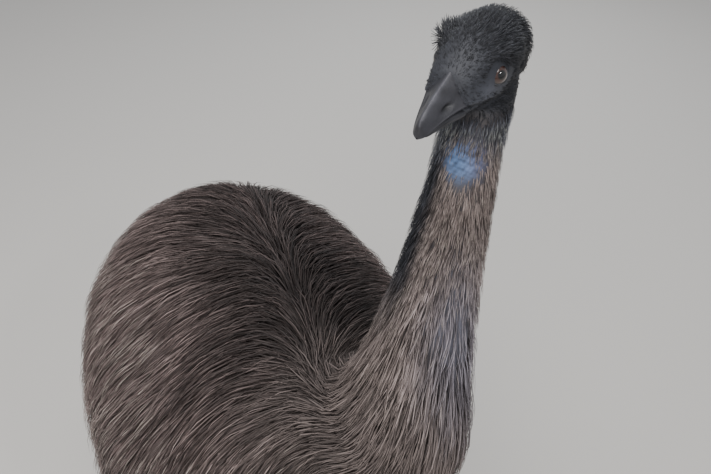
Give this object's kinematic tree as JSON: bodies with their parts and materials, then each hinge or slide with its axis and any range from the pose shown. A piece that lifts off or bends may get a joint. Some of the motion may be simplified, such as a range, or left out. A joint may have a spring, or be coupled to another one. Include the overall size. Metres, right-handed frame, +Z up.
{
  "type": "emu figure",
  "caption": "Still life-size standing emu with shaggy parted plumage, long neck and head turned to its right, resting on two three-toed feet",
  "frame": {"origin": "on the floor under the middle of the bird's box", "axes": "+Z up; the bird faces -Y and its left side is +X; +Z is the longest extent"},
  "size_m": [0.656, 0.8878, 1.397],
  "materials": {
    "body_plumage": "long loose brown-grey feathers with pale tips",
    "neck_plumage": "fine hair-like feathers, tan over dark, bluish bare skin on the throat and side",
    "head_skin": "dark slate skin with black bristly feathers",
    "bill_horn": "dark grey horn, satin",
    "eye": "reddish brown iris under a clear wet surface",
    "leg_scales": "grey-brown horny scales",
    "claw_horn": "dark horn, worn at the tips"
  },
  "bodies": {
    "root": {"torso": "body_plumage", "tail": "body_plumage", "neck_lower": "neck_plumage", "neck_upper": "neck_plumage", "head": "head_skin", "bill_upper": "bill_horn", "bill_lower": "bill_horn", "eye_left": "eye", "thigh_left": "body_plumage", "shank_left": "leg_scales", "foot_left": "leg_scales", "claw_middle_left": "claw_horn", "claw_inner_left": "claw_horn", "claw_outer_left": "claw_horn", "eye_right": "eye", "thigh_right": "body_plumage", "shank_right": "leg_scales", "foot_right": "leg_scales", "claw_middle_right": "claw_horn", "claw_inner_right": "claw_horn", "claw_outer_right": "claw_horn"}
  },
  "joints": []
}
